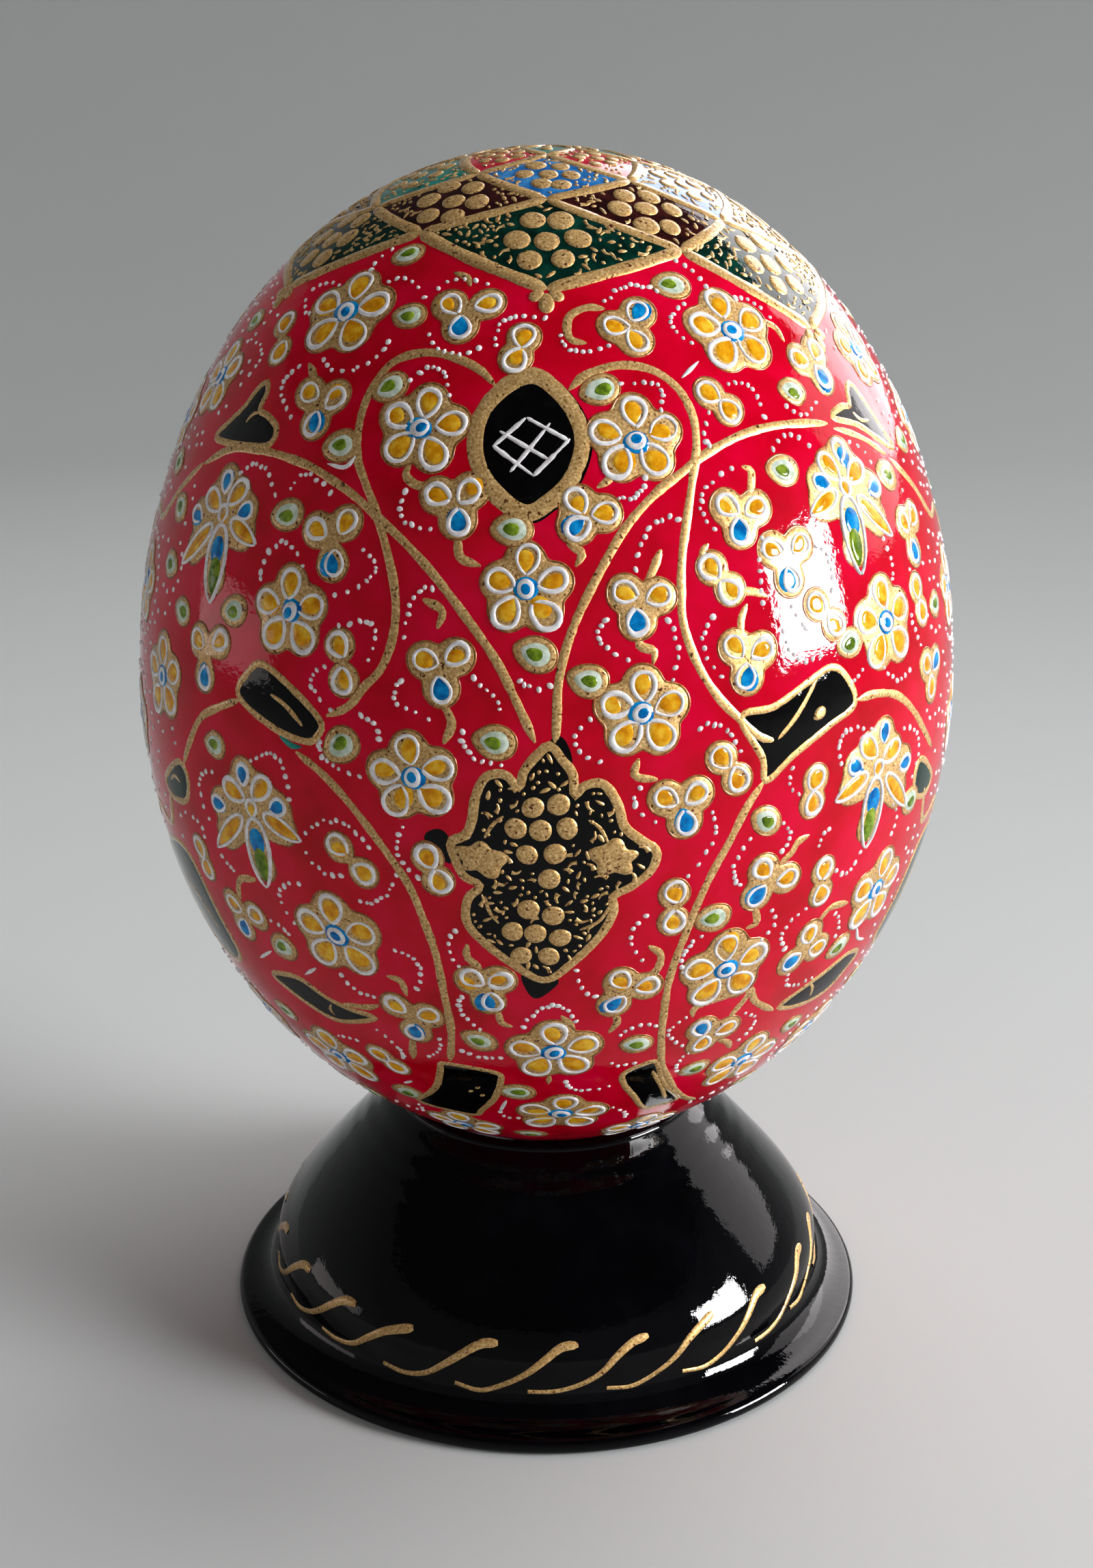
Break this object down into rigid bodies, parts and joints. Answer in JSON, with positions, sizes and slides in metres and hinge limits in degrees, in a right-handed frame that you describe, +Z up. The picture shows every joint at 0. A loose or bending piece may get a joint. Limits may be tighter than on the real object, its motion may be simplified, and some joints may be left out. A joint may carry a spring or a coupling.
{
  "type": "painted papier-mache egg on a turned stand",
  "caption": "Hollow red lacquered egg with raised gold and floral painting, standing loose in a bell-shaped black wooden foot.",
  "frame": {"origin": "centre of the stand's underside, on the surface it stands on", "axes": "+Z up along the common axis of the egg and its stand, -Y towards the front of the painting, +X to the viewer's right"},
  "size_m": [0.062, 0.062, 0.0916],
  "materials": {
    "black_lacquer": "glossy black lacquer over turned wood",
    "red_lacquer": "glossy red lacquer over papier-mache, painted in gold and colours",
    "paper_strip": "matte brown paper"
  },
  "bodies": {
    "stand": {"stand_body": "black_lacquer"},
    "egg": {"egg_lower_shell": "red_lacquer", "egg_upper_shell": "red_lacquer", "seam_strip": "paper_strip"}
  },
  "joints": [
    {"name": "egg_lift", "type": "slide", "parent": "stand", "child": "egg", "axis": [0, 0, 1], "range_m": [0, 0.05]}
  ]
}
